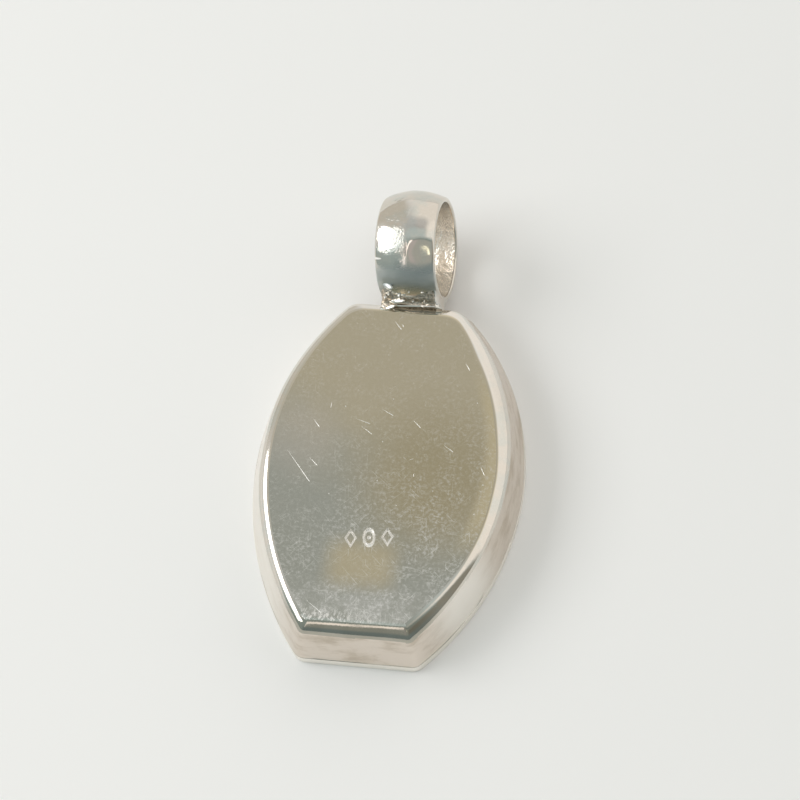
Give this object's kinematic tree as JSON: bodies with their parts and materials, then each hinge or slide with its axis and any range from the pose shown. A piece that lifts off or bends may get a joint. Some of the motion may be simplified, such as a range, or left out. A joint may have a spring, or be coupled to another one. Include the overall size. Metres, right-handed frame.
{
  "type": "spiny oyster pendant, shown from its closed silver back",
  "caption": "Barrel-shaped silver pendant with a closed flat back, flared walls, a stone slab set in the front and a domed bail on a short neck.",
  "frame": {"origin": "centre of the bounding box in X and Y, on the plane that the front rim rests on", "axes": "+Z out of the flat back plate, +Y towards the bail, +X to the right seen from the back"},
  "size_m": [0.0208, 0.0376, 0.0093],
  "materials": {
    "silver": "polished silver with wear, fine scratches and a faint warm tarnish",
    "spiny_oyster": "polished shell, orange-red with paler growth bands"
  },
  "bodies": {
    "root": {"setting": "silver", "stone": "spiny_oyster"}
  },
  "joints": []
}
